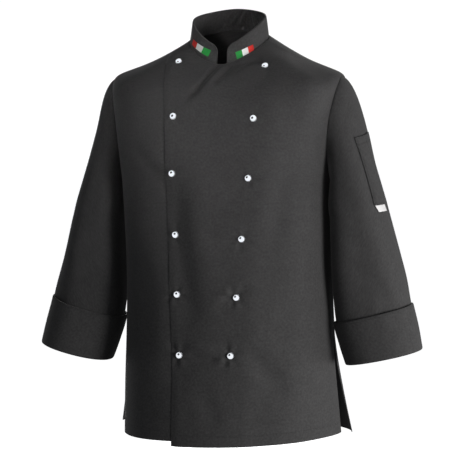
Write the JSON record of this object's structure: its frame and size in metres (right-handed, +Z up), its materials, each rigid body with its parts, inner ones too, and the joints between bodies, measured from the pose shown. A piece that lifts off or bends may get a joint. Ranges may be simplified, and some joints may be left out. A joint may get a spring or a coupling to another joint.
{
  "type": "chef jacket",
  "caption": "Double-breasted long-sleeved chef jacket in its worn, hollow form, with stand collar, turned-up cuffs, side vents, domed studs and a sleeve pen pocket.",
  "frame": {"origin": "middle of the wearer's neck, level with the two side neck points where the shoulder seams meet the collar", "axes": "+Z up, +X to the wearer's left, the closed front faces -Y"},
  "size_m": [0.7159, 0.3056, 0.7844],
  "materials": {
    "charcoal_twill": "matt fine twill with a soft sheen",
    "chrome_stud": "polished",
    "white_woven_tab": "plain woven"
  },
  "bodies": {
    "root": {"front_over": "charcoal_twill", "front_under": "charcoal_twill", "back": "charcoal_twill", "sleeve_left": "charcoal_twill", "sleeve_right": "charcoal_twill", "cuff_left": "charcoal_twill", "cuff_right": "charcoal_twill", "collar": "charcoal_twill", "pen_pocket": "charcoal_twill", "label_tab": "white_woven_tab", "stud_left_1": "chrome_stud", "stud_left_2": "chrome_stud", "stud_left_3": "chrome_stud", "stud_left_4": "chrome_stud", "stud_left_5": "chrome_stud", "stud_left_6": "chrome_stud", "stud_right_1": "chrome_stud", "stud_right_2": "chrome_stud", "stud_right_3": "chrome_stud", "stud_right_4": "chrome_stud", "stud_right_5": "chrome_stud", "stud_right_6": "chrome_stud"}
  },
  "joints": []
}
